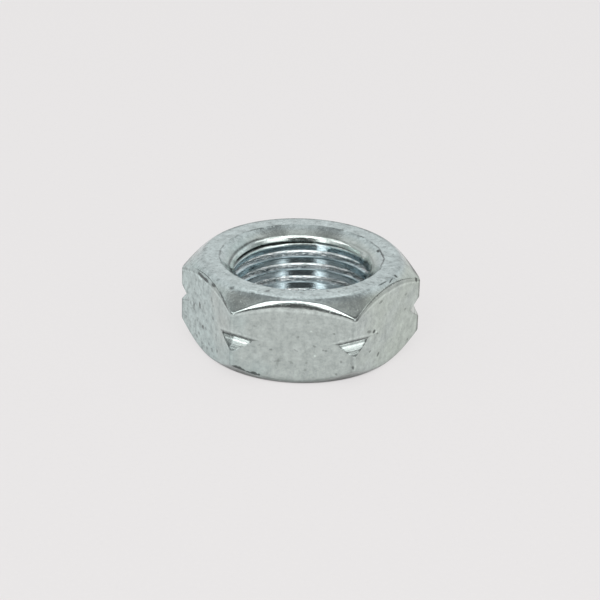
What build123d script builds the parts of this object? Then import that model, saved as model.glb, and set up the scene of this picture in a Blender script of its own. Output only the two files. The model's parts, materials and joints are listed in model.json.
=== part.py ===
from build123d import *
import math
import os

# Hexagon and thickness, in millimetres: a left-hand M16 x 1.5 jam nut for a 22 mm spanner
across_flats = 21.8
height = 9.6
corner_radius = 0.55
flat_edge_radius = 0.35

# Chamfers that leave a round bearing face on both sides
bearing_diameter = 20.6
chamfer_angle = 40
bearing_edge_radius = 0.4

# Threaded bore: its wall stands at the minor diameter of the thread
thread_diameter = 16
thread_pitch = 1.5
minor_diameter = thread_diameter - 1.0825 * thread_pitch
countersink_diameter = 17.1
countersink_angle = 120

# V grooves across the corners, the mark of a left-hand thread
notch_depth = 1.0
notch_angle = 90

# How far a cutting shape reaches past the surface that it cuts
cut_allowance = 1

number_of_corners = 6
corner_pitch = 360 / number_of_corners
half_flat = across_flats / 2
corner_reach = (half_flat - corner_radius) / math.cos(math.radians(corner_pitch / 2)) + corner_radius


def hexagon_blank():
    """Hexagonal bar with two corners on the X axis and rounded vertical edges."""
    outline = RegularPolygon(half_flat, number_of_corners, major_radius=False)
    outline = fillet(outline.vertices(), corner_radius)
    return extrude(outline, height)


def chamfer_envelope():
    """Round body whose two cones take the corners off the hexagon."""
    bearing_radius = bearing_diameter / 2
    outer_radius = corner_reach + cut_allowance
    drop = (outer_radius - bearing_radius) * math.tan(math.radians(chamfer_angle))
    section = Polyline(
        (0, 0), (bearing_radius, 0), (outer_radius, drop),
        (outer_radius, height - drop), (bearing_radius, height), (0, height), close=True,
    )
    envelope = revolve(Plane.XZ * make_face(section), Axis.Z)
    bearing_edges = envelope.edges().filter_by(
        lambda edge: edge.geom_type == GeomType.CIRCLE and edge.radius < bearing_radius + cut_allowance / 2
    )
    return fillet(bearing_edges, bearing_edge_radius)


def chamfered_hexagon():
    """Hexagon cut by the two cones, with the edges that the cones leave on the flats rounded."""
    body = hexagon_blank() & chamfer_envelope()
    curved_edges = body.edges().filter_by(
        lambda edge: edge.geom_type not in (GeomType.LINE, GeomType.CIRCLE)
    )
    return fillet(curved_edges, flat_edge_radius)


def threaded_bore():
    """Bore at the minor diameter with a countersink at both ends."""
    bore_radius = minor_diameter / 2
    sink_radius = countersink_diameter / 2
    slope = math.tan(math.radians(90 - countersink_angle / 2))
    sink_depth = (sink_radius - bore_radius) * slope
    lip = cut_allowance * slope
    section = Polyline(
        (0, -lip), (sink_radius + cut_allowance, -lip), (bore_radius, sink_depth),
        (bore_radius, height - sink_depth), (sink_radius + cut_allowance, height + lip), (0, height + lip),
        close=True,
    )
    return revolve(Plane.XZ * make_face(section), Axis.Z)


def corner_notch():
    """V groove across the corner on the +X axis, halfway up the nut."""
    root = corner_reach - notch_depth
    mouth = corner_reach + cut_allowance
    half_mouth = (mouth - root) * math.tan(math.radians(notch_angle / 2))
    groove = Polyline(
        (root, height / 2), (mouth, height / 2 + half_mouth), (mouth, height / 2 - half_mouth), close=True
    )
    half_length = notch_depth / math.tan(math.radians(corner_pitch / 2)) + cut_allowance
    return extrude(Plane.XZ * make_face(groove), half_length, both=True)


def jam_nut():
    nut = chamfered_hexagon() - threaded_bore()
    for corner in range(number_of_corners):
        nut -= Rot(0, 0, corner * corner_pitch) * corner_notch()
    return nut


os.makedirs("parts", exist_ok=True)
export_step(jam_nut(), "parts/jam_nut.step")
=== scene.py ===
import json
from math import atan2, cos, pi, radians, sin, tan

import bmesh
import bpy
import numpy as np
from mathutils import Matrix, Vector


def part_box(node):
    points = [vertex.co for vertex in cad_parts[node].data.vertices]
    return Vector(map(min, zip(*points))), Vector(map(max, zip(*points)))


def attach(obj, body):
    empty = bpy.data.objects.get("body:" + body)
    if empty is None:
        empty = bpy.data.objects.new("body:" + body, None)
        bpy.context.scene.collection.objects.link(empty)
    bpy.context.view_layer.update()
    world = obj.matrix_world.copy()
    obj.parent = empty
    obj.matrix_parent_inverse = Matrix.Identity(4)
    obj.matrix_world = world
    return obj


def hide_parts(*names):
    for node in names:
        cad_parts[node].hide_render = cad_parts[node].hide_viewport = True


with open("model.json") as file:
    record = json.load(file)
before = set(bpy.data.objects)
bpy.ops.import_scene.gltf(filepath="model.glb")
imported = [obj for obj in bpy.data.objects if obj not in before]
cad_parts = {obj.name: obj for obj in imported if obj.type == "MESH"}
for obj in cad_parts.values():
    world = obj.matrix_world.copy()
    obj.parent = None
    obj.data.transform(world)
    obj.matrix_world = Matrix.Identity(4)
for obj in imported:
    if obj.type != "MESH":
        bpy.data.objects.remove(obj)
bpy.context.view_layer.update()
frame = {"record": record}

MM = 0.001

# Sizes of the nut in millimetres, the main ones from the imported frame
low_corner, high_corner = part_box("jam_nut")
thread_mount = next(m for m in frame["record"]["mounts"] if m["name"] == "thread")
height = (high_corner.z - low_corner.z) / MM
half_flat = (high_corner.y - low_corner.y) / MM / 2
minor_radius = thread_mount["dims"]["r_mm"]

corner_radius = 0.55
bearing_radius = 10.3
bearing_edge_radius = 0.5
# The chamfer is crowned: its slope below level beside the bearing face and past the crown
inner_chamfer_slope, outer_chamfer_slope = radians(33), radians(41.5)
crown_end_radius = 11.0

# Corners of a regular hexagon, counted anticlockwise from +X
number_of_corners = 6
sector = 2 * pi / number_of_corners
side_length = 2 * half_flat * tan(sector / 2)
corner_reach = (half_flat - corner_radius) / cos(sector / 2) + corner_radius

# The camera, fitted to the photograph, and the azimuth of the side of the bore that it faces
widths_to_camera = 11.0
camera_distance = widths_to_camera * 2 * half_flat * MM
camera_elevation = radians(24.797)
camera_azimuth = radians(-90 + 3.045)
camera_roll = radians(1.667)
focal_pixels = 2277.75
picture_size = 600
sensor_width = 36.0
aim_x, aim_y = 300.11, 298.08
nearest_seen = 0.01
far_side = camera_azimuth + pi

# Mesh columns along a side, from its corner: the first ones, the close ones across the notch with
# their end and number, and the number on the flat
corner_columns = (0, 0.07, 0.14, 0.21, 0.28, 0.37)
notch_columns_end, notch_columns, flat_columns = 2.3, 17, 30
# Mesh rows on the bearing ring, its rounding, the chamfer, the upper flat and beside the notch
ring_row_count, ring_edge_rows, chamfer_row_count, flat_rows, notch_rows = 7, 5, 10, 7, 24
first_flat_step, first_flat_share = 0.12, 0.15

# Rounding from the chamfer to a flat: how far the surface looks up at each step, and the lengths
# between them
edge_slopes = np.radians([50, 43, 21, 12.4, 0])
edge_lengths = (0.10, 0.19, 0.42, 0.12)
edge_steps = (1, 3, 3, 1)
# Size of that rounding at a corner and in the middle of a flat
upper_edge_scales = (0.45, 1.0)
lower_edge_scales = (0.35, 0.35)
# The front flat by the sine of the azimuth. Its edge is worn wider at two places along it and
# narrower elsewhere, and its dull lower part is longest past the middle
front_limits = (0.85, 0.88)
worn_places, worn_width, worn_length, unworn_length = (0.22, 0.80), 0.13, 0.45, 0.07
dull_place, dull_width, dull_length = 0.57, 0.28, 0.35

# Every mark gives a darkness: -1 is the lightest, 0 is plain metal and 2 the darkest.
# Painted highlights and painted shade along that rounding by its points, of the upper end at the front
# and elsewhere and of the lower end, which fades towards the corners
upper_front_marks = ((0, 1.4), (1, 1.0), (2, 0), (4, 0), (5, -0.5), (8, -0.5))
upper_side_marks = ((0, 0.2), (1, 0.0), (4, -0.2), (5, 0.2), (7, 0.7), (8, 0.2))
lower_edge_marks = ((0, 1.8), (5, 1.1), (8, 0.3))
lower_fading, lower_fading_limits = 0.55, (0.2, 0.7)
# Painted shade on the lower bearing ring and chamfer, standing in for the reflected shadow under the nut
lower_outline_mark = 2.6
# Painted highlight along the top of each flat and light painted shade along its bottom
upper_flat_mark, lower_flat_mark = -0.8, 0.2
# Painted dark outline at the back, by the sine of the azimuth, stronger on the right by its cosine, over
# the chamfer's outer part and the first points of the rounding
back_outline_mark, back_limits = 1.5, (-0.03, 0.06)
right_outline_gain, right_outline_limits = 0.8, (0.6, 0.85)
outline_shares, outline_points = (0.6, 0.9), 5
# Dark spot at the right end of the front edge: its corner, offset, width and darkness
tip_corner, tip_offset, tip_width, tip_mark = 5, 0.01, 0.035, 1.8
# Painted line round the upper bearing ring, painted shade at the back and a painted highlight at the
# front: darkness added between two sines of the azimuth
ring_edge_marks = ((0.45, -0.55, -0.40), (1.15, 0.35, 0.65), (-0.6, -0.75, -0.90))
ring_end_share = 0.8
# Painted shade and highlight lines along each corner: darkness, distance past the corner and width;
# painted dark ones on the outline
corner_lines = ((0.45, -0.26, 0.10), (-0.30, 0.10, 0.09))
lower_corner_gain = 0.4
outline_corners, outline_corner_mark, outline_corner_width = {0: -0.10, 3: 0.10}, 1.6, 0.26
side_depth, side_blend = 0.05, 0.02

# Thread: the groove between two crests, the slopes of its floor and its roof, the hollow where they
# meet with the slope at which it ends, and the rounding of the crests' upper edges
thread_pitch = 1.5
groove_width = 0.80
flank_angle = radians(30)
roof_angle = radians(25)
hollow_radius = 0.40
hollow_end = radians(75)
crest_edge_radius = 0.035
crest_edge_points, hollow_points = 4, 6
flank_point, crest_points = 0.55, (0.33, 0.67)
first_crest_depth, turns_above = 1.69, 3
# The first groove: where it starts, how wide it is after the first angle, and the angles between
# which it opens to its full width
first_groove_start = radians(25)
narrow_groove, narrow_groove_turn = 0.30, radians(15)
wide_groove_limits, groove_surplus, least_groove = np.radians([65, 215]), 0.3, 0.03

# Countersink and the rounded lip under it
sink_radius = 8.55
sink_angle = radians(35)
lip_blend = 0.18
lip_taper = tan(radians(18))
lip_depth = 1.35
lip_row_split, lip_upper_start, lip_lower_rows, lip_upper_rows = 0.5, 0.42, 15, 4
# On the left the lip and the first crest are pressed inwards and a little down, with a wider taper
pressed_azimuth, pressed_limits = radians(183), (0.6, 0.95)
pressed_inwards, pressed_down, pressed_depths = 0.21, 0.10, (2.6, 2.2)
wide_taper = tan(radians(33))
# On the right the lip has the wider taper too and ends higher, further round it ends lower, and it
# is flatter still at both ends
opened_azimuth, opened_limits, opened_lip_end = radians(2), (0.80, 0.95), 1.2
lengthened_azimuth, lengthened_width, lengthened_by = radians(26), radians(7), 0.25
flattened_taper, flattened_width = tan(radians(50)), radians(12)
left_flattened_azimuth, right_flattened_azimuth = radians(192), radians(350)
crest_taper_height = 0.3
# Where the first groove is smeared shut: its azimuth and half width, and where the taper runs on
# over the first crest
smear_azimuth, smear_half_width, smear_limits = radians(70), radians(10), (-0.03, 0.05)
smoothed_azimuth, smoothed_half_width, smoothed_blend = radians(76), radians(7), 0.04
smoothed_taper_height = 0.7

# Marks in the thread, painted shade and painted highlights. The first groove gets painted shade, from
# its start on and less along its last part
groove_mark, groove_mark_depth, groove_mark_start = 2.2, 0.05, 0.1
groove_mark_fading, groove_mark_limits = 0.6, np.radians([150, 215])
# Angles from the far side: its middle part, the part with a painted highlight, and the parts beside it,
# which get painted shade
middle_offset, middle_limits = 0.03, np.radians([8, 14])
painted_highlight_limits = np.radians([12, 19])
beside_limits, beside_mark = np.radians([15, 25]), 0.35
right_limits = np.radians([19, 26])
# Painted shade in the hollows, and their painted highlights on the far side and beside it
hollow_mark, painted_highlight_mark = 0.2, -1.2
second_highlight, second_highlight_azimuth, second_highlight_width = 1.3, radians(45), radians(14)
# The edge and the taper of the first crest, painted reflections of dark and light: plain, in the
# middle, left of it and on the right
edge_middle_mark, edge_left_mark, edge_right_mark = 1.4, -0.5, 0.9
taper_mark, taper_middle_mark, taper_right_mark, taper_mark_limits = 0.1, 0.8, -0.5, (0.08, 0.2)
# How far below the lip the thread's own colour starts, and below the first groove
thread_colour_limits, below_groove_limit = (0.6, 0.8), 0.1

# Marks on the lip. A line near its upper end at the back, weaker on the right, lower and wider
# where the lip is pressed
rim_line_depth, rim_line_width = 0.72, 0.075
pressed_line_depth, pressed_line_width = 0.15, 0.04
rim_line_mark, rim_line_side, rim_line_limits = 1.9, 0.9, (-0.80, -0.72)
# Its lower end is in the shade of the first groove, apart from the smeared place
shade_depth, shade_width, smoothed_shade = 1.3, 0.12, 1.6
# Painted highlights on the lip: strength, azimuth and width in degrees
lip_highlight_places = ((1.2, 114, 13), (1.2, 72, 10), (1.2, 165, 24), (0.8, 38, 14), (1.4, 191, 9))
lip_highlight_depth, lip_highlight_width = 1.06, 0.22
# Painted dark reflection on the lip's lower part in the middle of the far side
dark_reflection_mark, dark_reflection_azimuth, dark_reflection_width = 1.2, radians(90.5), radians(8)
dark_reflection_limits = (0.80, 1.0)
streak_mark, streak_azimuth, streak_limits = 3.2, radians(-2), (0.982, 0.998)
streak_depth, streak_width = 0.93, 0.07

# Notches by corner: depth, height of the upper and of the lower flank, and how many degrees the
# cut is turned away from the corner
notch_shapes = np.array([
    (0.82, 0.95, 1.30, 0), (1.0, 0.8, 1.1, 0), (1.0, 0.8, 1.1, 0),
    (1.0, 1.05, 0.75, 0), (1.0, 0.55, 1.25, 0), (0.94, 0.55, 1.25, 5),
])
notch_zone = 1.35
lower_flank_curve = 1.35
notch_ridge_spacing = 0.34
notch_ridge_height, notch_ridge_limits = 0.008, (0.05, 0.25)
least_cut = 0.004
# Dark lines across a notch's lower flank: distance below its root, darkness and width
notch_lines = ((0.20, 1.6, 0.07), (0.48, 0.9, 0.05), (0.78, 1.9, 0.08), (1.12, 1.8, 0.07))
right_notch, right_notch_gain = 5, 0.5
# Its other marks, painted shade and painted highlights: shade on the upper flank, a highlight on the
# lower one and its dark outline, the shaded end of the left notch, and the dark and the light line
# over the upper edge by distance and width
upper_notch_mark, lower_notch_mark = 2.0, -0.5
notch_outline_mark, notch_outline_width = 2.3, 0.09
left_notch, left_notch_mark, left_notch_limits = 4, 2.0, (0.022, 0.042)
notch_edge_lines = ((2.3, -0.10, 0.24), (-0.6, -0.62, 0.20))

# Brightness of the room by the sine of the elevation
room_levels = ((0.0, 0.75), (0.10, 0.80), (0.2, 0.86), (1.0, 0.88))
# Its dim ceiling: the level, the sines of the elevation and the place toward the camera where it
# starts, and the brighter strip along it
ceiling_level, ceiling_start, ceiling_reach = 0.56, (0.76, 0.84), (-0.10, 0.04)
ceiling_strip, strip_half_width, strip_blend, strip_start = 0.12, 0.2, 0.12, (0.86, 0.92)
# A darker panel overhead on both sides: its place across and away with half widths and softness
dark_panel_level, dark_panel_start = 0.38, (0.6, 0.7)
panel_across, panel_away = (0.465, 0.265, 0.1), (0.01, 0.15, 0.06)
# Lights and dark places: from and to in degrees to the right of the camera, and by sines
high_lights, high_light = ((-80, -44, 0.60, 0.80), (44, 75, 0.60, 0.80)), 0.6
upright_lights = ((-40, -26, -0.6, 0.45), (26, 33, -0.6, 0.45), (32, 64, 0.04, 0.45))
upright_light = 1.1
camera_opening, opening_level = ((-25, 25, -0.7, 0.3),), 0.12
low_sides = ((60, 130, -0.13, 0.13), (-130, -60, -0.13, 0.13))
below_sides, below_side_level = ((44, 150, -0.7, -0.2), (-150, -44, -0.7, -0.2)), 0.45
dim_walls, dim_wall_level = ((56, 100, 0.17, 0.6), (-100, -56, 0.17, 0.6)), 0.55
patch_softness, dim_wall_softness = 0.05, 0.1

# Lamps: azimuth from the camera and elevation in degrees, width, depth and brightness
lamp_distance = 0.6
lamps = {
    "front_lamp": (0, 41, 0.61, 0.46, 2.5),
    "left_lamp": (-70, 24, 0.30, 0.20, 2.0),
    "right_lamp": (74, 28, 0.24, 0.20, 1.5),
}

# Floor: half its width in metres, its two tones, and the shine seen by the camera near the nut and
# by reflections clear of it
floor_half_width = 3.0
floor_tones = ((0.785, 0.768, 0.768, 1), (0.805, 0.788, 0.788, 1))
floor_roughness, floor_specular = 0.9, 0.1
floor_shine, floor_shine_limits = 0.88, (bearing_radius - 0.3, bearing_radius + 0.2)
floor_glow, floor_glow_limits = 0.6, (bearing_radius, bearing_radius + 3)

# Plating: dull and bright, and tints for its left end, its middle, its right end and its top
plating_tones = ((0.30, (0.37, 0.415, 0.405, 1)), (0.70, (0.64, 0.71, 0.695, 1)))
left_tint, middle_tint = (0.94, 1.0, 1.01, 1), (1.005, 1.0, 0.985, 1)
right_tint, top_tint = (1.03, 1.03, 0.97, 1), (0.995, 1.025, 1.05, 1)
left_tint_limits, right_tint_limits, tint_drift = (-9, -4), (7, 11), (-3, 3)
top_limits = (height - 0.6, height - 0.2)
# Thread: torn and smooth places on the crests and at the roots
crest_tints = (0.30, 0.38, 0.41, 1), (0.68, 0.82, 0.86, 1)
root_tints = (0.46, 0.53, 0.54, 1), (1.0, 1.0, 1.0, 1)
root_limits, torn_limits, streak_stretch = (1.1, 1.6), (0.26, 0.74), (0.7, 0.7, 2.6)
# Noise textures: waves to the millimetre, detail and roughness, and the middle of their range
plating_noise, drift_noise = (1.1, 8.0, 0.75), (0.22, 2.0, 0.5)
wander_noise, gap_noise = (0.9, 3.0, 0.5), (0.8, 5.0, 0.5)
scuff_noise, grain_noise, streak_noise = (1.7, 6.0, 0.7), (5.0, 5.0, 0.65), (1.6, 5.0, 0.65)
ragged_noise, floor_noise = (4.0, 2.0, 0.5), (2.0, 4.0, 0.5)
noise_span = (0.3, 0.7)
# How the darkness turns into a tone of the colour, and how lines and speckle break it up
darkness_range, tone_range = (-1, 2), (1.35, 0.22)
line_break_limits, line_break_range, speckle_range = (0.35, 0.6), (0.5, 1.0), (0.92, 1.08)
# Scuffs on the top and on the left end
left_scuff_limits, left_scuffs = (-7.5, -9.5), 1.3
scuff_limits, scuff_range = (0.50, 0.66), (-0.15, 0.8)
# Strewn pits: cells to the millimetre, the share of them that has a pit, and the largest radius
large_pits, small_pits = (0.7, 0.30, 0.16), (2.2, 0.22, 0.07)
pit_edge, pit_mark = 0.05, 1.2
# Roughness of the plating and of the thread's roots, and the relief in millimetres
plating_roughness, root_roughness = (0.09, 0.17), (0.08, 0.20)
torn_relief, pit_relief, grain_relief = 0.11, -0.02, 0.012

# Broken line round the countersink: how far it wanders, its half width, its gaps, and where it
# fades towards the middle and the front
crease_wander, crease_limits = (-0.10, 0.10), (0.04, 0.13)
crease_gap_limits, crease_gap_range = (0.42, 0.56), (0.2, 1.4)
crease_side_limits, crease_back_limits = (2.5, 4.5), (-4, -2)
crease_ends, crease_end_range = (-5, 5), (0.9, 1.1)

# Pits, stains and light specks on the flats: the flat by number anticlockwise from +X, place along
# and up it, half sizes along and up it, tilt in degrees, and darkness, below zero where it is light
flat_marks = (
    (3, -1.42, 5.38, 0.15, 0.32, 8, 1.7), (3, -2.94, 4.84, 0.13, 0.36, 5, 0.8),
    (3, 1.56, 7.22, 0.13, 0.34, 12, 0.6), (3, 1.83, 6.66, 0.12, 0.15, 0, 0.5),
    (3, 1.86, 5.26, 0.18, 0.20, 0, 0.5), (3, -0.61, 3.20, 0.24, 0.20, 30, 0.8),
    (3, -0.82, 1.26, 0.15, 0.15, 0, 0.6), (3, 0.94, 1.94, 0.16, 0.18, 0, 0.6),
    (3, 2.66, 3.50, 0.12, 0.36, 0, 0.5), (3, -1.61, 2.07, 0.18, 0.16, 0, 0.7),
    (3, -2.11, 1.50, 0.18, 0.18, 0, 0.7), (3, 2.95, 2.03, 0.15, 0.18, 0, 0.6),
    (3, 0.45, 1.25, 0.18, 0.18, 0, 0.6), (3, 1.71, 1.59, 0.26, 0.20, 0, 0.6),
    (3, -5.00, 3.02, 0.18, 0.14, 0, 0.5), (3, -1.23, 8.78, 0.62, 0.13, 0, 2.2),
    (3, -0.05, 8.80, 0.50, 0.14, 0, 2.2), (3, -1.60, 8.42, 0.45, 0.12, 0, -1.2),
    (3, 1.75, 8.95, 0.40, 0.14, 0, 0.9), (3, 4.30, 8.35, 1.20, 0.09, -25, 0.7),
    (4, -1.50, 2.72, 0.38, 0.12, 8, 0.28), (4, -1.50, 2.50, 0.11, 0.34, -8, 0.22),
    (4, -0.15, 2.60, 0.22, 0.10, -30, 0.35), (4, 0.32, 3.99, 0.20, 0.08, -25, 0.4),
    (4, 0.48, 5.51, 0.13, 0.11, 0, 0.35), (4, -3.89, 6.49, 0.16, 0.08, -20, 0.25),
    (4, -3.44, 4.39, 0.16, 0.07, 0, 0.35), (4, -2.22, 3.95, 0.13, 0.10, 0, 0.5),
    (4, 3.05, 4.15, 0.12, 0.11, 0, 0.45), (4, 3.35, 4.11, 0.13, 0.11, 0, 0.5),
    (4, 2.18, 4.55, 0.20, 0.09, -30, 0.4), (4, 4.10, 6.06, 0.11, 0.11, 0, 0.5),
    (4, 1.77, 6.20, 0.09, 0.09, 0, -0.6), (4, 2.26, 3.48, 0.11, 0.11, 0, -0.6),
    (4, 4.91, 2.96, 0.12, 0.14, 0, 0.5), (4, 4.45, 1.52, 0.11, 0.11, 0, 0.45),
    (4, 1.37, 2.64, 0.11, 0.11, 0, 0.35), (4, 1.30, 1.85, 0.11, 0.11, 0, 0.35),
    (4, 6.15, 2.35, 0.10, 0.17, 0, 0.8), (4, -5.84, 1.76, 0.24, 0.15, -25, 2.8),
    (4, -5.36, 1.62, 0.24, 0.14, -25, 2.8), (4, -5.00, 1.46, 0.20, 0.12, -25, 2.2),
    (4, -4.51, 1.27, 0.18, 0.08, -20, 1.0), (4, -3.89, 1.14, 0.32, 0.13, -15, 2.8),
    (4, -3.38, 1.05, 0.11, 0.11, 0, 1.4),
    (5, -2.76, 5.11, 0.19, 0.14, 0, 2.4), (5, -2.32, 4.88, 0.16, 0.11, 0, -0.8),
    (5, -3.75, 5.43, 0.32, 0.14, -20, 0.6), (5, -2.10, 4.65, 0.22, 0.11, -30, 0.6),
    (5, -1.64, 8.00, 0.32, 0.13, 0, 0.6), (5, -3.38, 3.08, 0.22, 0.11, 0, 0.6),
    (5, -1.76, 2.15, 0.28, 0.15, 40, 0.85), (5, 3.34, 7.07, 0.26, 0.11, 0, 0.4),
    (5, 3.29, 5.37, 0.22, 0.13, 0, 0.45),
)
# The same round the ends: radius, azimuth and height, half sizes outward and along, turn, darkness
ring_marks = (
    (10.48, 219.6, 9.44, 0.15, 0.20, 0, 0.4), (10.56, 232.1, 9.38, 0.16, 0.24, 20, 0.5),
    (10.42, 245.9, 9.49, 0.12, 0.20, 0, 0.5), (9.53, 252.4, 9.6, 0.16, 0.26, 30, 0.5),
    (8.91, 290.7, 9.6, 0.18, 0.12, 0, 0.5), (9.49, 297.4, 9.6, 0.14, 0.14, 0, 0.5),
    (10.38, 314.3, 9.53, 0.13, 0.22, 0, 0.5), (10.52, 341.0, 9.41, 0.16, 0.15, 0, 2.4),
    (10.54, 334.5, 9.42, 0.05, 0.50, 10, 1.1), (10.36, 327.0, 9.54, 0.07, 0.65, 0, 0.9),
    (12.20, 356.0, 8.05, 0.20, 0.24, 0, 1.1), (8.52, 11.5, 9.6, 0.05, 0.95, 0, 1.2),
    (8.36, 18.6, 9.6, 0.12, 0.26, 0, 2.0), (8.85, 178.0, 9.6, 0.50, 0.08, 10, 0.6),
)
# How deep these marks reach, where their edges are, their strength, and how ragged they are
flat_mark_reach, ring_mark_reach = 0.6, 0.35
mark_edge, mark_strength = (0.8, 1.4), 1.9
ragged_shift = 0.22

# Mesh: points and edges that are closer together than this become one, and the sharpest smooth edge
merged_distance, least_edge = 0.002, 0.0005
sharp_angle = radians(35)
# A length too small to matter, one deeper than any groove, and the gap under the first groove
tiny, no_roof, crest_gap = 1e-6, 10, 0.01


def smooth_max(first, second, blend):
    """The larger of two values, with the change-over rounded across a width of blend."""
    share = np.clip(0.5 + 0.5 * (first - second) / blend, 0, 1)
    return second + (first - second) * share + blend * share * (1 - share)


def ease(value, start, end):
    """Zero before the start and one past the end, with a smooth rise between them."""
    share = np.clip((value - start) / (end - start), 0, 1)
    return share * share * (3 - 2 * share)


def peak(value, centre, width):
    """One at the centre, falling smoothly to nothing about two widths away."""
    return np.exp(-(((value - centre) / width) ** 2))


def angle_from_corner(azimuth):
    """Angle past the nearest corner: zero at the corner, up to 30 degrees either way."""
    return (azimuth + sector / 2) % sector - sector / 2


def nearest_corner(azimuth):
    return np.round(azimuth / sector).astype(int) % number_of_corners


def flat_share(azimuth):
    """Zero at a corner and one in the middle of a flat."""
    return np.abs(angle_from_corner(azimuth)) / (sector / 2)


def front_share(azimuth):
    """One along the front flat and zero elsewhere."""
    return ease(-np.sin(azimuth), *front_limits)


def back_outline(azimuth):
    """Painted shade: darkness of the outline at the back."""
    at_back = ease(np.sin(azimuth), *back_limits)
    on_right = ease(np.cos(azimuth), *right_outline_limits)
    return back_outline_mark * at_back * (1 + right_outline_gain * on_right)


def chamfer_drop(radius):
    """How far the chamfer lies below the bearing face at a distance from the axis."""
    inner, outer = tan(inner_chamfer_slope), tan(outer_chamfer_slope)
    crown = crown_end_radius - bearing_radius
    along = np.clip(radius - bearing_radius, None, crown)
    beyond = np.clip(radius - crown_end_radius, 0, None)
    return along * inner + np.clip(along, 0, None) ** 2 * (outer - inner) / (2 * crown) + beyond * outer


def column_azimuths():
    """Azimuths of the mesh columns: fine across each corner's notch, wider along the flats."""
    across_notch = np.linspace(corner_columns[-1], notch_columns_end, notch_columns)[1:]
    near_corner = np.concatenate([corner_columns, across_notch])
    on_flat = np.linspace(near_corner[-1], side_length - near_corner[-1], flat_columns)[1:-1]
    along_side = np.concatenate([near_corner, on_flat, side_length - near_corner[:0:-1]])
    in_sector = sector / 2 - np.arctan((side_length / 2 - along_side) / half_flat)
    return np.concatenate([in_sector + corner * sector for corner in range(number_of_corners)])


def hexagon_radius(azimuth):
    """Distance from the axis to the hexagon with its rounded corners."""
    from_corner = np.abs(angle_from_corner(azimuth))
    centre = (half_flat - corner_radius) / cos(sector / 2)
    to_flat = half_flat / np.cos(sector / 2 - from_corner)
    under_root = np.maximum(corner_radius**2 - (centre * np.sin(from_corner)) ** 2, 0)
    to_arc = centre * np.cos(from_corner) + np.sqrt(under_root)
    tangent_point = atan2(
        corner_radius * sin(sector / 2), centre + corner_radius * cos(sector / 2)
    )
    return np.where(from_corner < tangent_point, to_arc, to_flat)


def ring_rows(azimuth, edge_mark):
    """Rows of (radius, height, mark) over the bearing ring and the rounding of its outer edge."""
    level = np.zeros_like(azimuth)
    ring_end = bearing_radius - bearing_edge_radius * tan(inner_chamfer_slope / 2)
    rows = []
    for radius in np.linspace(sink_radius, ring_end, ring_row_count):
        mark = ring_end_share * edge_mark * (radius == ring_end)
        rows.append((radius + level, height + level, mark))
    for turn in np.linspace(pi / 2, pi / 2 - inner_chamfer_slope, ring_edge_rows)[1:]:
        rows.append((
            ring_end + bearing_edge_radius * cos(turn) + level,
            height - bearing_edge_radius * (1 - sin(turn)) + level,
            edge_mark,
        ))
    return rows


def chamfer_rows(azimuth, start, end, mark):
    """Rows down the chamfer between two radii; the mark fades out along it."""
    rows = []
    for share in np.linspace(0, 1, chamfer_row_count)[1:-1]:
        radius = start + (end - start) * share
        outline = back_outline(azimuth) * ease(share, *outline_shares)
        rows.append((radius, height - chamfer_drop(radius), outline + mark * (1 - share)))
    return rows


def edge_path(azimuth):
    """Points (outward, downward) along the rounding between the chamfer and a flat."""
    along = azimuth % sector / sector
    worn = sum(worn_length * peak(along, place, worn_width) for place in worn_places) - unworn_length
    dull = dull_length * peak(along, dull_place, dull_width)
    longer = (0, worn, dull, 0)
    outward, downward = [0 * azimuth], [0 * azimuth]
    for part, (first, last) in enumerate(zip(edge_slopes, edge_slopes[1:])):
        steps = edge_steps[part]
        length = (edge_lengths[part] + front_share(azimuth) * longer[part]) / steps
        for step in range(steps):
            slope = first + (last - first) * (step + 0.5) / steps
            outward.append(outward[-1] + length * sin(slope))
            downward.append(downward[-1] + length * cos(slope))
    return outward, downward


def edge_marks(azimuth, front_marks, side_marks):
    """Painted shade and painted highlights at each point of that rounding."""
    points = np.arange(sum(edge_steps) + 1)
    marks = []
    for point in points:
        front = np.interp(point, *zip(*front_marks))
        side = np.interp(point, *zip(*side_marks)) + back_outline(azimuth) * (point < outline_points)
        marks.append(side + (front - side) * front_share(azimuth))
    return marks


def side_rows(azimuth, flat_top, flat_mark):
    """Rows down the flat to mid-height, close together beside the notch."""
    reach, level = hexagon_radius(azimuth), np.zeros_like(azimuth)
    notch_top = height / 2 + notch_zone
    rows = [(reach, flat_top - first_flat_step, level + flat_mark)]
    for share in np.linspace(first_flat_share, 1, flat_rows):
        rows.append((reach, flat_top + (notch_top - flat_top) * share, level))
    for z in np.linspace(notch_top, height / 2, notch_rows)[1:]:
        rows.append((reach, z + level, level))
    return rows


def half_rows(azimuth, edge_scales, ring_mark, chamfer_mark, point_marks, flat_mark):
    """Rows from the countersink's edge over the bearing ring and the chamfer to mid-height."""
    rows = ring_rows(azimuth, ring_mark)
    outward, downward = edge_path(azimuth)
    scale = edge_scales[0] + (edge_scales[1] - edge_scales[0]) * flat_share(azimuth)
    edge_start = hexagon_radius(azimuth) - scale * outward[-1]
    rows += chamfer_rows(azimuth, rows[-1][0], edge_start, chamfer_mark)
    start_height = height - chamfer_drop(edge_start)
    for out, down, mark in zip(outward, downward, point_marks):
        rows.append((edge_start + scale * out, start_height - scale * down, mark))
    return rows + side_rows(azimuth, rows[-1][1], flat_mark)


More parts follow.
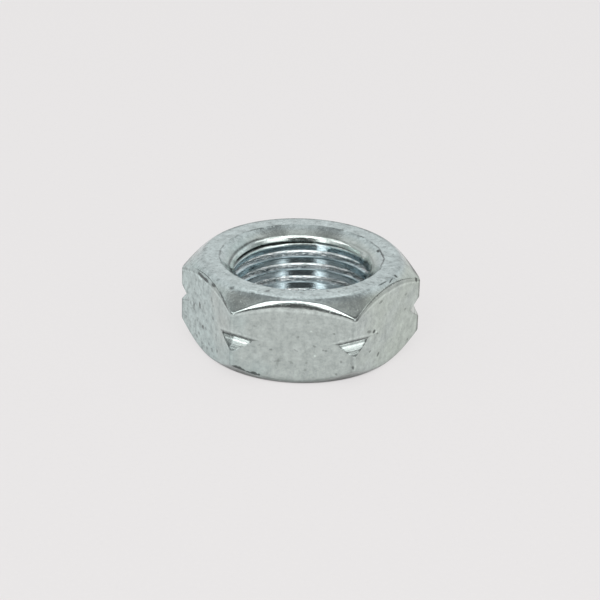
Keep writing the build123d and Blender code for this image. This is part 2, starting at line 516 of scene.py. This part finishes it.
def cut_notch(azimuth, radius, z):
    """Takes the V groove with its tool marks out of the hexagon near each corner, with the notch's
    painted shade and highlights.
    """
    corner = nearest_corner(azimuth)
    depth, upper_flank, lower_flank, turned = notch_shapes[corner].T
    above_root = z - height / 2
    upper = 1 - above_root / upper_flank
    lower = 1 - np.clip(-above_root / lower_flank, 0, None) ** lower_flank_curve
    share = np.minimum(upper, lower)
    ridges = notch_ridge_height * np.cos(2 * pi * above_root / notch_ridge_spacing)
    ridges *= ease(-above_root, *notch_ridge_limits)
    turn = angle_from_corner(azimuth)
    groove = (corner_reach - depth * share + ridges) / np.cos(turn - np.radians(turned))
    below_surface = radius - groove
    inside = below_surface > least_cut
    lower_mark = notch_outline_mark * peak(below_surface, 0, notch_outline_width) + lower_notch_mark
    for below_root, darkness, width in notch_lines:
        gain = 1 + right_notch_gain * (corner == right_notch)
        lower_mark += darkness * gain * peak(above_root, -below_root, width)
    lower_mark += left_notch_mark * (corner == left_notch) * ease(-turn, *left_notch_limits)
    mark = inside * np.where(above_root > 0, upper_notch_mark, lower_mark)
    over_edge = sum(line * peak(below_surface, place, width) for line, place, width in notch_edge_lines)
    over_edge *= ~np.isin(corner, list(outline_corners))
    return np.minimum(radius, groove), mark + over_edge * (above_root > 0) * ~inside


def corner_marks(azimuth):
    """Darkness of the painted shade and highlight lines along the corners."""
    corner = nearest_corner(azimuth)
    past_corner = angle_from_corner(azimuth) * corner_reach
    mark = sum(line * peak(past_corner, place, width) for line, place, width in corner_lines)
    for number, offset in outline_corners.items():
        mark += outline_corner_mark * (corner == number) * peak(past_corner, offset, outline_corner_width)
    return mark


def outer_rows(azimuth):
    """All rows of the outside, from the upper countersink's edge down to the lower one's."""
    ring_edge = sum(mark * ease(np.sin(azimuth), *limits) for mark, *limits in ring_edge_marks)
    tip = tip_mark * peak(azimuth, sector * tip_corner + tip_offset, tip_width)
    upper_marks = [mark + tip for mark in edge_marks(azimuth, upper_front_marks, upper_side_marks)]
    fading = 1 - lower_fading * (1 - ease(flat_share(azimuth), *lower_fading_limits))
    lower_marks = [mark * fading for mark in edge_marks(azimuth, lower_edge_marks, lower_edge_marks)]
    upper = half_rows(azimuth, upper_edge_scales, ring_edge, 0, upper_marks, upper_flat_mark)
    lower_ring = lower_outline_mark + 0 * azimuth
    lower = half_rows(
        azimuth, lower_edge_scales, lower_ring, lower_outline_mark, lower_marks, lower_flat_mark
    )
    lower = [(radius, height - z, mark) for radius, z, mark in reversed(lower[:-1])]
    rows = []
    for radius, z, mark in upper + lower:
        stronger = 1 + lower_corner_gain * ease(height / 2 - z, 0, 1)
        cut_radius, notch_mark = cut_notch(azimuth, radius, z)
        above_side = radius - (hexagon_radius(azimuth) - side_depth)
        on_side = ease(above_side, -side_blend, side_blend) * (cut_radius > radius - tiny)
        rows.append((cut_radius, z, mark + notch_mark + corner_marks(azimuth) * stronger * on_side))
    return rows


def thread_profile():
    """One pitch of crest and groove, upwards: offsets from the groove's sharp lower edge, and depths."""
    edge_tangent = crest_edge_radius * tan((pi / 2 - flank_angle) / 2)
    hollow_height = hollow_radius * (cos(flank_angle) - cos(hollow_end))
    hollow_depth = hollow_radius * (sin(hollow_end) - sin(flank_angle))
    flank_height = (groove_width - hollow_height - hollow_depth * tan(roof_angle)) / (
        1 + tan(roof_angle) / tan(flank_angle)
    )
    points = []
    for turn in np.linspace(0, pi / 2 - flank_angle, crest_edge_points):
        points.append((
            crest_edge_radius * sin(turn) - edge_tangent, crest_edge_radius * (1 - cos(turn))
        ))
    points.append((flank_height * flank_point, flank_height * flank_point / tan(flank_angle)))
    for slope in np.linspace(flank_angle, hollow_end, hollow_points):
        points.append((
            flank_height + hollow_radius * (cos(flank_angle) - cos(slope)),
            flank_height / tan(flank_angle) + hollow_radius * (sin(slope) - sin(flank_angle)),
        ))
    points.append((groove_width, 0.0))
    crest = thread_pitch - edge_tangent - groove_width
    points += [(groove_width + crest * share, 0.0) for share in crest_points]
    return np.array(points).T


def first_groove_width(azimuth, progress):
    """Width of the thread's first groove, which opens along the first turn."""
    opening = ease(progress, 0, narrow_groove_turn) * narrow_groove
    opening += (groove_width + groove_surplus) * ease(progress, *wide_groove_limits)
    smeared = ease(smear_half_width - np.abs(azimuth - smear_azimuth), *smear_limits)
    return np.maximum(opening * (1 - smeared), least_groove)


def pressed_share(azimuth):
    """How far the lip is pressed in: one on the left of the bore, zero away from there."""
    return ease(np.cos(azimuth - pressed_azimuth), *pressed_limits)


def smoothed_share(azimuth):
    """Where the lip runs on smoothly over the first crest: one in the middle of that place."""
    away = np.abs(azimuth - smoothed_azimuth)
    return 1 - ease(away, smoothed_half_width - smoothed_blend, smoothed_half_width + smoothed_blend)


def wall_radius(depth, azimuth):
    """The plain bore, the tapered lip over it and the countersink, rounded where they meet."""
    pressed = pressed_share(azimuth)
    opened = ease(np.cos(azimuth - opened_azimuth), *opened_limits)
    from_right = (azimuth - right_flattened_azimuth + pi) % (2 * pi) - pi
    right_end = peak(from_right, 0, flattened_width)
    left_end = peak(azimuth, left_flattened_azimuth, flattened_width)
    lip_end = lip_depth - (lip_depth - opened_lip_end) * (opened + right_end)
    lip_end += lengthened_by * peak(azimuth, lengthened_azimuth, lengthened_width)
    taper = lip_taper + (wide_taper - lip_taper) * (pressed + opened)
    taper += (flattened_taper - wide_taper) * (right_end + left_end)
    tapered = minor_radius + taper * np.clip(lip_end - depth, 0, None)
    tapered -= pressed_inwards * pressed * ease(depth, *pressed_depths)
    return smooth_max(tapered, sink_radius - depth / tan(sink_angle), lip_blend)


def bore_radius(azimuth, z, groove, below_floor, tapered):
    """Distance from the axis to the bore with its groove, its lip and the taper on the first crest."""
    smoothed = smoothed_share(azimuth)
    taper_height = crest_taper_height + (smoothed_taper_height - crest_taper_height) * smoothed
    wall = wall_radius(height - z, azimuth)
    wall += tapered * lip_taper * (taper_height - np.clip(below_floor, 0, taper_height))
    cone = sink_radius - z / tan(sink_angle)
    radius = np.minimum(smooth_max(wall + groove, cone, lip_blend / 2), sink_radius)
    return np.where(z < tiny, sink_radius, radius)


def thread_share(z, groove, deepest, below_floor):
    """How much of the thread's own colour shows: none on the lip, one on a crest and two at a root."""
    below_lip = np.minimum(z, height - z) - lip_depth
    below_groove = ease(below_floor, 0, below_groove_limit)
    below_groove *= ease(below_lip, 0, below_groove_limit)
    in_thread = np.maximum(ease(below_lip, *thread_colour_limits), below_groove)
    return in_thread * (1 + np.clip(groove / deepest, 0, 1))


def thread_marks(azimuth, progress):
    """Painted shade and painted reflections: darkness of the first groove, of its edge, of the taper
    under it and beside the far side.
    """
    middle = 1 - ease(np.abs(azimuth - far_side + middle_offset), *middle_limits)
    on_right = ease(far_side - azimuth, *right_limits)
    groove_line = groove_mark * ease(progress, 0, groove_mark_start) * (1 - smoothed_share(azimuth))
    groove_line *= 1 - groove_mark_fading * ease(progress, *groove_mark_limits)
    edge_line = edge_middle_mark * middle + edge_right_mark * on_right
    edge_line += edge_left_mark * (azimuth > far_side)
    taper_tone = taper_mark + taper_middle_mark * middle + taper_right_mark * on_right
    beside = beside_mark * ease(np.abs(azimuth - far_side), *beside_limits)
    return groove_line, edge_line, taper_tone, beside


def hollow_tone(azimuth, is_second):
    """Painted shade in a groove's hollow, with a painted highlight on the far side and, in the second
    one, beside it.
    """
    shining = 1 - ease(np.abs(azimuth - far_side), *painted_highlight_limits)
    second_highlight_share = second_highlight * peak(azimuth, second_highlight_azimuth, second_highlight_width)
    return hollow_mark + painted_highlight_mark * np.maximum(shining, is_second * second_highlight_share)


def bore_rows(azimuth):
    """Rows of the bore that climb with the left-hand thread up to the lip, and the rows to a pitch."""
    offsets, depths = thread_profile()
    edge_end, flank_end = offsets[crest_edge_points - 1], offsets[crest_edge_points + 1]
    pitch_per_radian = thread_pitch / (2 * pi)
    first_crest = height - first_crest_depth + pitch_per_radian * far_side
    progress = (azimuth - first_groove_start) % (2 * pi)
    drop = pressed_down * pressed_share(azimuth)
    first_floor = first_crest - pitch_per_radian * (first_groove_start + progress) - drop
    first_width = first_groove_width(azimuth, progress)
    squeeze = np.clip((first_width - edge_end) / (groove_width - edge_end), 0, 1)
    groove_line, edge_line, taper_tone, beside = thread_marks(azimuth, progress)
    rows = []
    for turn in range(int(-first_crest // thread_pitch) - 1, turns_above):
        floor = first_crest + turn * thread_pitch - pitch_per_radian * azimuth
        is_first = np.abs(floor - first_floor) < thread_pitch / 2
        is_second = np.abs(floor + thread_pitch - first_floor) < thread_pitch / 2
        above_first = floor > first_floor + thread_pitch / 2
        below_first = floor < first_floor - thread_pitch / 2
        floor = np.where(is_first, floor - drop, floor)
        for offset in offsets:
            squeezed = np.where(offset > edge_end, edge_end + (offset - edge_end) * squeeze, offset)
            beyond = offset - groove_width * (1 - squeeze)
            moved = np.where(is_first, np.where(offset > groove_width, beyond, squeezed), offset)
            z = np.where(below_first, np.minimum(floor + moved, first_floor - crest_gap), floor + moved)
            z = np.clip(z, 0, height - lip_depth)
            below_floor = first_floor - z
            roof = np.where(is_first, (first_width - (z - floor)) / tan(roof_angle), no_roof)
            groove = np.minimum(np.interp(z - floor, offsets, depths, right=0), roof)
            groove = np.clip(np.where(above_first, 0, groove), 0, None)

            at_edge = is_first & (offset < edge_end + tiny)
            tapered = at_edge | (below_floor > 0) & (below_floor < smoothed_taper_height)
            in_hollow = ~is_first & (offset > flank_end) & (offset < groove_width)
            in_thread = thread_share(z, groove, depths.max(), below_floor)
            # Painted shade and painted highlights in the thread
            mark = groove_line * is_first * ease(groove, 0, groove_mark_depth)
            mark += in_hollow * hollow_tone(azimuth, is_second)
            mark += beside * (in_thread > 0.5)
            mark += edge_line * at_edge
            mark += taper_tone * tapered * ease(below_floor, *taper_mark_limits)
            rows.append((bore_radius(azimuth, z, groove, below_floor, tapered), z, mark, in_thread))
    return rows, len(offsets)


def lip_rows(azimuth):
    """Level rows from the lip's end up to the face: a dark line where the lip begins, painted shade and
    highlights.
    """
    level = np.zeros_like(azimuth)
    pressed = pressed_share(azimuth)
    rim_line = rim_line_mark - rim_line_side * np.sign(np.cos(azimuth))
    rim_line *= ease(-np.sin(azimuth), *rim_line_limits)
    # Painted highlights on the lip
    painted_highlight = sum(
        strength * peak(azimuth, radians(centre), radians(width))
        for strength, centre, width in lip_highlight_places
    )
    groove_shade = (1 - pressed) * (1 - smoothed_shade * smoothed_share(azimuth))
    # Painted dark reflection in the middle of the far side
    dark_reflection = dark_reflection_mark * peak(azimuth, dark_reflection_azimuth, dark_reflection_width)
    right_streak = streak_mark * ease(np.cos(azimuth - streak_azimuth), *streak_limits)
    line_depth = rim_line_depth + pressed_line_depth * pressed
    line_width = rim_line_width + pressed_line_width * pressed
    lower_rows = np.linspace(lip_depth, lip_row_split, lip_lower_rows)
    upper_rows = np.linspace(lip_upper_start, 0, lip_upper_rows)
    rows = []
    for depth in np.concatenate([lower_rows, upper_rows]):
        radius = np.minimum(wall_radius(depth, azimuth), sink_radius)
        mark = rim_line * peak(depth, line_depth, line_width)
        mark += groove_shade * peak(depth, shade_depth, shade_width)
        mark += right_streak * peak(depth, streak_depth, streak_width)
        mark -= painted_highlight * peak(depth, lip_highlight_depth, lip_highlight_width)
        mark += dark_reflection * ease(depth, *dark_reflection_limits)
        rows.append((radius, height - depth + level, mark, level))
    return rows


def ring_faces(rows, columns, seam_shift=0, first=0):
    """Quads between neighbouring rows; the last column meets the first one seam_shift rows lower."""
    faces = []
    for row in range(rows - 1):
        for column in range(columns):
            after = (column + 1) % columns
            shift = seam_shift * (after == 0)
            lower, upper = max(row - shift, 0), max(row + 1 - shift, 0)
            corners = ((row, column), (lower, after), (upper, after), (row + 1, column))
            faces.append([first + r * columns + c for r, c in corners])
    return faces


def nut_mesh():
    """One closed mesh of the nut, with attributes for the darkness of its lines, mostly painted shade and
    highlights, and for its thread.
    """
    azimuth = column_azimuths()
    outside = [row + (np.zeros_like(azimuth),) for row in outer_rows(azimuth)]
    thread, rows_per_pitch = bore_rows(azimuth)
    lip = lip_rows(azimuth)
    rows = outside + thread + lip
    radii, heights, marks, in_thread = (np.array([row[k] for row in rows]) for k in range(4))
    points = np.stack([radii * np.cos(azimuth), radii * np.sin(azimuth), heights], axis=-1).reshape(-1, 3)
    columns = len(azimuth)
    faces = ring_faces(len(outside), columns)
    faces += ring_faces(len(thread), columns, rows_per_pitch, len(outside) * columns)
    faces += ring_faces(len(lip), columns, first=(len(outside) + len(thread)) * columns)

    mesh = bpy.data.meshes.new("jam_nut_surface")
    mesh.from_pydata((points * MM).tolist(), [], faces)
    for name, values in (("edge_line", marks), ("in_thread", in_thread)):
        attribute = mesh.attributes.new(name, "FLOAT", "POINT")
        attribute.data.foreach_set("value", values.reshape(-1).astype(np.float32))
    work = bmesh.new()
    work.from_mesh(mesh)
    bmesh.ops.remove_doubles(work, verts=work.verts, dist=merged_distance * MM)
    bmesh.ops.dissolve_degenerate(work, edges=work.edges, dist=least_edge * MM)
    bmesh.ops.recalc_face_normals(work, faces=work.faces)
    work.to_mesh(mesh)
    work.free()
    for polygon in mesh.polygons:
        polygon.use_smooth = True
    mesh.set_sharp_from_angle(angle=sharp_angle)
    return mesh


def add_object(name, data):
    item = bpy.data.objects.new(name, data)
    bpy.context.scene.collection.objects.link(item)
    return item


def direction_to(azimuth, elevation):
    return Vector((
        cos(elevation) * cos(azimuth), cos(elevation) * sin(azimuth), sin(elevation)
    ))


def make_camera():
    back = direction_to(camera_azimuth, camera_elevation)
    data = bpy.data.cameras.new("camera")
    data.sensor_width = sensor_width
    data.lens = focal_pixels / picture_size * sensor_width
    data.shift_x = (picture_size / 2 - aim_x) / picture_size
    data.shift_y = (aim_y - picture_size / 2) / picture_size
    data.clip_start = nearest_seen
    camera = add_object("camera", data)
    camera.rotation_mode = "QUATERNION"
    camera.location = Vector((0, 0, height / 2 * MM)) + back * camera_distance
    turn = (-back).to_track_quat("-Z", "Y").to_matrix() @ Matrix.Rotation(camera_roll, 3, "Z")
    camera.rotation_quaternion = turn.to_quaternion()
    bpy.context.scene.camera = camera


class NodeTree:
    """Shader nodes of a material or a world. A value is a number, a tuple or another node's output."""

    def __init__(self, owner):
        owner.use_nodes = True
        self.nodes, self.links = owner.node_tree.nodes, owner.node_tree.links

    def give(self, value, socket):
        """Sets the socket to the value or links it; no value leaves it alone."""
        if isinstance(value, bpy.types.NodeSocket):
            self.links.new(value, socket)
        elif value is not None:
            socket.default_value = value

    def node(self, kind, *values, **named):
        """New node; the values go to its inputs in order, the named ones to inputs or settings."""
        node = self.nodes.new("ShaderNode" + kind)
        for name, value in named.items():
            if name in node.inputs:
                self.give(value, node.inputs[name])
            else:
                setattr(node, name, value)
        for value, socket in zip(values, node.inputs):
            self.give(value, socket)
        return node

    def math(self, operation, *values):
        return self.node("Math", *values, operation=operation).outputs["Value"]

    def vector(self, operation, *values):
        return self.node("VectorMath", *values, operation=operation).outputs["Vector"]

    def length(self, vector):
        return self.node("VectorMath", vector, operation="LENGTH").outputs["Value"]

    def axes(self, vector):
        return [self.node("SeparateXYZ", vector).outputs[axis] for axis in "XYZ"]

    def remap(self, value, from_range, to_range=(0, 1)):
        return self.node("MapRange", value, *from_range, *to_range).outputs["Result"]

    def noise(self, vector, per_millimetre, detail, roughness, output="Fac"):
        node = self.node("TexNoise", vector, Scale=per_millimetre, Detail=detail, Roughness=roughness)
        return node.outputs[output]

    def attribute(self, name):
        return self.node("Attribute", attribute_name=name).outputs["Fac"]

    def millimetres(self):
        """Place on the object in millimetres."""
        place = self.node("TexCoord").outputs["Object"]
        return self.node("Mapping", place, Scale=(1 / MM, 1 / MM, 1 / MM)).outputs["Vector"]

    def ramp(self, value, stops):
        """Colour that follows stops of (position, colour)."""
        node = self.node("ValToRGB", value)
        elements = node.color_ramp.elements
        while len(elements) < len(stops):
            elements.new(0.5)
        for element, (position, colour) in zip(elements, stops):
            element.position = position
            element.color = colour
        return node.outputs["Color"]

    def mix_colours(self, factor, first, second):
        node = self.node("Mix", data_type="RGBA", Factor=factor)
        colour_inputs = [socket for socket in node.inputs if socket.type == "RGBA"]
        for value, socket in zip((first, second), colour_inputs):
            self.give(value, socket)
        return next(socket for socket in node.outputs if socket.type == "RGBA")

    def mix_shaders(self, factor, first, second):
        return self.node("MixShader", factor, first, second).outputs["Shader"]

    def window(self, value, centre, half_width, softness):
        """One within half_width of the centre, falling to zero across the softness."""
        away = self.math("ABSOLUTE", self.math("SUBTRACT", value, centre))
        return self.remap(away, (half_width - softness / 2, half_width + softness / 2), (1, 0))

    def toward(self, base, target, share):
        """The base, moved to the target by the share."""
        return self.math("MULTIPLY_ADD", self.math("SUBTRACT", target, base), share, base)


def new_material(name):
    material = bpy.data.materials.new(name)
    tree = NodeTree(material)
    return material, tree, tree.nodes["Principled BSDF"]


def add_mark(tree, vector, total, place, turns, half_sizes, darkness):
    """Adds one oval mark at a place on the surface to the total darkness."""
    from_mark = tree.node("Mapping", vector, place, turns, half_sizes, vector_type="TEXTURE")
    strength = tree.remap(tree.length(from_mark.outputs["Vector"]), mark_edge, (mark_strength, 0))
    return tree.math("MULTIPLY_ADD", strength, darkness, total)


def surface_marks(tree, vector):
    """Darkness of all the pits and stains that the nut shows, with ragged outlines."""
    ragged = tree.noise(vector, *ragged_noise, output="Color")
    shift = tree.vector("MULTIPLY_ADD", ragged, (ragged_shift,) * 3, (-ragged_shift / 2,) * 3)
    ragged_vector = tree.vector("ADD", vector, shift)
    total = 0.0
    for flat, along, up, half_length, half_height, tilt, darkness in flat_marks:
        normal = sector * (flat + 0.5)
        place = Matrix.Rotation(normal, 3, "Z") @ Vector((half_flat, along, up))
        turns = (radians(tilt), 0, normal)
        half_sizes = (flat_mark_reach, half_length, half_height)
        total = add_mark(tree, ragged_vector, total, place, turns, half_sizes, darkness)
    for radius, azimuth, up, half_outward, half_along, turn, darkness in ring_marks:
        place = Matrix.Rotation(radians(azimuth), 3, "Z") @ Vector((radius, 0, up))
        turns = (0, 0, radians(azimuth + turn))
        half_sizes = (half_outward, half_along, ring_mark_reach)
        total = add_mark(tree, ragged_vector, total, place, turns, half_sizes, darkness)
    return total


def crease_line(tree, vector):
    """Broken dark line round the edge of the countersink."""
    from_axis = tree.length(tree.vector("MULTIPLY", vector, (1, 1, 0)))
    wander = tree.remap(tree.noise(vector, *wander_noise), noise_span, crease_wander)
    away = tree.math("ADD", tree.math("SUBTRACT", from_axis, sink_radius), wander)
    line = tree.remap(tree.math("ABSOLUTE", away), crease_limits, (1, 0))
    gaps = tree.remap(tree.noise(vector, *gap_noise), crease_gap_limits, crease_gap_range)
    x, y, _ = tree.axes(vector)
    beside = tree.remap(tree.math("ABSOLUTE", x), crease_side_limits)
    share = tree.math("MULTIPLY", beside, tree.remap(y, crease_back_limits))
    share = tree.math("MULTIPLY", share, tree.remap(x, crease_ends, crease_end_range))
    return tree.math("MULTIPLY", tree.math("MULTIPLY", line, gaps), share)


def scattered_pits(tree, vector, per_millimetre, share, largest):
    """Darkness of small strewn pits; a share of the cells has one, up to the largest radius."""
    cells = tree.node("TexVoronoi", vector, Scale=per_millimetre)
    chance = tree.node("SeparateColor", cells.outputs["Color"]).outputs["Red"]
    reach = tree.remap(chance, (1 - share, 1), (0, largest * per_millimetre))
    inner = tree.math("SUBTRACT", reach, cells.outputs["Distance"])
    return tree.remap(inner, (0, pit_edge * per_millimetre), (0, pit_mark))


def plating_colour(tree, vector, x, on_top):
    """Mottled grey, cooler at the left end and on the top and warmer at the right end."""
    plating = tree.ramp(tree.noise(vector, *plating_noise), plating_tones)
    drift = tree.remap(tree.noise(vector, *drift_noise), noise_span, tint_drift)
    along = tree.math("ADD", x, drift)
    tint = tree.mix_colours(tree.remap(along, left_tint_limits), left_tint, middle_tint)
    tint = tree.mix_colours(tree.remap(along, right_tint_limits), tint, right_tint)
    tint = tree.mix_colours(on_top, tint, top_tint)
    return tree.vector("MULTIPLY", plating, tint)


def thread_colour(tree, streaks, root_share):
    """Bluer and darker grey, streaked along the thread, and lighter at its roots."""
    smooth_share = tree.remap(streaks, torn_limits)
    crests = tree.mix_colours(smooth_share, *crest_tints)
    roots = tree.mix_colours(smooth_share, *root_tints)
    return tree.mix_colours(root_share, crests, roots)


def surface_darkness(tree, vector, x, on_top, grain, strewn):
    """Darkness of the lines, mostly painted shade and highlights, and of the pits, stains and scuffs
    together.
    """
    broken = tree.remap(grain, line_break_limits, line_break_range)
    lines = tree.math("MULTIPLY", tree.attribute("edge_line"), broken)
    strewn_or_crease = tree.math("MAXIMUM", strewn, crease_line(tree, vector))
    flaws = tree.math("ADD", surface_marks(tree, vector), strewn_or_crease)
    scuffed = tree.math("MAXIMUM", on_top, tree.remap(x, left_scuff_limits, (0, left_scuffs)))
    scuffs = tree.remap(tree.noise(vector, *scuff_noise), scuff_limits, scuff_range)
    return tree.math("MULTIPLY_ADD", scuffs, scuffed, tree.math("ADD", lines, flaws))


def zinc_material():
    """Clear zinc plating: pale grey metal with pits, stains and painted shade and highlight lines, duller
    and bluer in the thread.
    """
    material, tree, shader = new_material("zinc_plating")
    vector = tree.millimetres()
    x, _, z = tree.axes(vector)
    on_top = tree.remap(z, top_limits)
    in_thread = tree.attribute("in_thread")
    root_share = tree.remap(in_thread, root_limits)
    grain = tree.noise(vector, *grain_noise)
    streak_vector = tree.node("Mapping", vector, Scale=streak_stretch).outputs["Vector"]
    streaks = tree.noise(streak_vector, *streak_noise)
    pits = [scattered_pits(tree, vector, *sizes) for sizes in (large_pits, small_pits)]
    strewn = tree.math("MAXIMUM", *pits)

    plating = plating_colour(tree, vector, x, on_top)
    base = tree.mix_colours(in_thread, plating, thread_colour(tree, streaks, root_share))
    darkness = surface_darkness(tree, vector, x, on_top, grain, strewn)
    tone = tree.remap(darkness, darkness_range, tone_range)
    tone = tree.math("MULTIPLY", tone, tree.remap(grain, noise_span, speckle_range))
    tree.give(tree.vector("SCALE", base, None, None, tone), shader.inputs["Base Color"])
    shader.inputs["Metallic"].default_value = 1.0

    smooth_part = tree.remap(grain, noise_span, plating_roughness)
    torn_part = tree.remap(streaks, noise_span, root_roughness)
    tree.give(tree.toward(smooth_part, torn_part, root_share), shader.inputs["Roughness"])

    torn = tree.math("MULTIPLY", tree.math("MULTIPLY", streaks, root_share), torn_relief)
    pitted = tree.math("MULTIPLY_ADD", strewn, pit_relief, torn)
    relief = tree.math("MULTIPLY_ADD", grain, grain_relief, pitted)
    bump = tree.node("Bump", Strength=1.0, Distance=MM, Height=relief)
    tree.give(bump.outputs["Normal"], shader.inputs["Normal"])
    return material


def floor_material():
    """Pale paper with a faint tooth, which shines a little for the camera and for reflections."""
    material, tree, shader = new_material("pale_floor")
    vector = tree.millimetres()
    colour = tree.ramp(tree.noise(vector, *floor_noise), list(enumerate(floor_tones)))
    tree.give(colour, shader.inputs["Base Color"])
    shader.inputs["Roughness"].default_value = floor_roughness
    shader.inputs["Specular IOR Level"].default_value = floor_specular
    glow = tree.node("Emission", colour)
    rays = tree.node("LightPath").outputs
    from_axis = tree.length(vector)
    near_nut = tree.remap(from_axis, floor_shine_limits, (0, floor_shine))
    clear_of_nut = tree.remap(from_axis, floor_glow_limits, (0, floor_glow))
    reflected = tree.math("ADD", rays["Is Glossy Ray"], rays["Is Transmission Ray"])
    reflected = tree.math("MULTIPLY", reflected, clear_of_nut)
    seen = tree.math("MULTIPLY_ADD", rays["Is Camera Ray"], near_nut, reflected)
    shining = tree.mix_shaders(seen, shader.outputs["BSDF"], glow.outputs["Emission"])
    inside_bore = tree.remap(from_axis, (minor_radius, sink_radius), (1, 0))
    open_below = tree.math("MULTIPLY", inside_bore, rays["Is Glossy Ray"])
    clear = tree.node("BsdfTransparent").outputs["BSDF"]
    surface = tree.mix_shaders(open_below, shining, clear)
    tree.give(surface, tree.nodes["Material Output"].inputs["Surface"])
    return material


def make_floor():
    half = floor_half_width
    mesh = bpy.data.meshes.new("floor")
    corners = [(-half, -half, 0), (half, -half, 0), (half, half, 0), (-half, half, 0)]
    mesh.from_pydata(corners, [], [(0, 1, 2, 3)])
    floor = add_object("floor", mesh)
    mesh.materials.append(floor_material())


def make_lamp(name, azimuth, elevation, width, depth, brightness):
    """Soft rectangular lamp that faces the nut; the azimuth is counted from the camera's."""
    data = bpy.data.lights.new(name, "AREA")
    data.shape = "RECTANGLE"
    data.size = width
    data.size_y = depth
    data.energy = brightness * pi * width * depth
    lamp = add_object(name, data)
    back = direction_to(radians(azimuth) + camera_azimuth, radians(elevation))
    lamp.location = back * lamp_distance
    lamp.rotation_mode = "QUATERNION"
    lamp.rotation_quaternion = (-back).to_track_quat("-Z", "Y")


def add_ceiling(tree, room, across, away, up):
    """Brightness of the room with its dim ceiling, the strip along it and the darker panels overhead."""
    toward_camera = tree.math("MULTIPLY", away, -1.0)
    overhead = tree.remap(up, ceiling_start)
    ceiling = tree.math("MULTIPLY", overhead, tree.remap(toward_camera, ceiling_reach))
    brightness = tree.toward(room, ceiling_level, ceiling)
    strip = tree.remap(up, strip_start, (0, ceiling_strip))
    strip = tree.math("MULTIPLY", tree.window(across, 0, strip_half_width, strip_blend), strip)
    brightness = tree.math("MULTIPLY_ADD", strip, ceiling, brightness)
    beside = tree.window(tree.math("ABSOLUTE", across), *panel_across)
    panel = tree.math("MULTIPLY", beside, tree.window(away, *panel_away))
    panel = tree.math("MULTIPLY", panel, tree.remap(up, dark_panel_start))
    return tree.toward(brightness, dark_panel_level, panel)


def make_world():
    """A white room for reflections, with a dim ceiling and lights beside a dark opening at the camera."""
    world = bpy.data.worlds.new("studio")
    bpy.context.scene.world = world
    tree = NodeTree(world)
    direction = tree.node("TexCoord").outputs["Generated"]
    facing = tree.node("Mapping", direction, Rotation=(0, 0, -pi / 2 - camera_azimuth))
    across, away, up = tree.axes(facing.outputs["Vector"])
    angle = tree.math("ARCTAN2", across, tree.math("MULTIPLY", away, -1.0))

    def patches(places, softness=patch_softness):
        """Sum over the places: each adds one inside its two ranges."""
        total = 0.0
        for left, right, low, high in places:
            middle, half_width = radians((left + right) / 2), radians((right - left) / 2)
            beside = tree.window(angle, middle, half_width, softness)
            level = tree.window(up, (low + high) / 2, (high - low) / 2, softness)
            total = tree.math("MULTIPLY_ADD", beside, level, total)
        return total

    room = tree.ramp(up, [(sine, (level, level, level, 1)) for sine, level in room_levels])
    brightness = add_ceiling(tree, room, across, away, up)
    for places, light in ((high_lights, high_light), (upright_lights, upright_light)):
        brightness = tree.math("MULTIPLY_ADD", patches(places), light, brightness)
    dark = tree.math("MAXIMUM", patches(camera_opening), patches(low_sides))
    walls = patches(dim_walls, dim_wall_softness)
    for share, level in (
        (dark, opening_level), (walls, dim_wall_level), (patches(below_sides), below_side_level)
    ):
        brightness = tree.math("MULTIPLY", brightness, tree.remap(share, (0, 1), (1, level)))
    tree.give(brightness, tree.nodes["Background"].inputs["Strength"])
    tree.nodes["Background"].inputs["Color"].default_value = (1, 1, 1, 1)


def make_nut():
    nut = add_object("threaded_nut", nut_mesh())
    nut.data.materials.append(zinc_material())
    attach(nut, "root")
    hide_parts("jam_nut")


bpy.context.scene.view_settings.view_transform = "Standard"
make_world()
make_floor()
for lamp_name, lamp_values in lamps.items():
    make_lamp(lamp_name, *lamp_values)
make_camera()
make_nut()
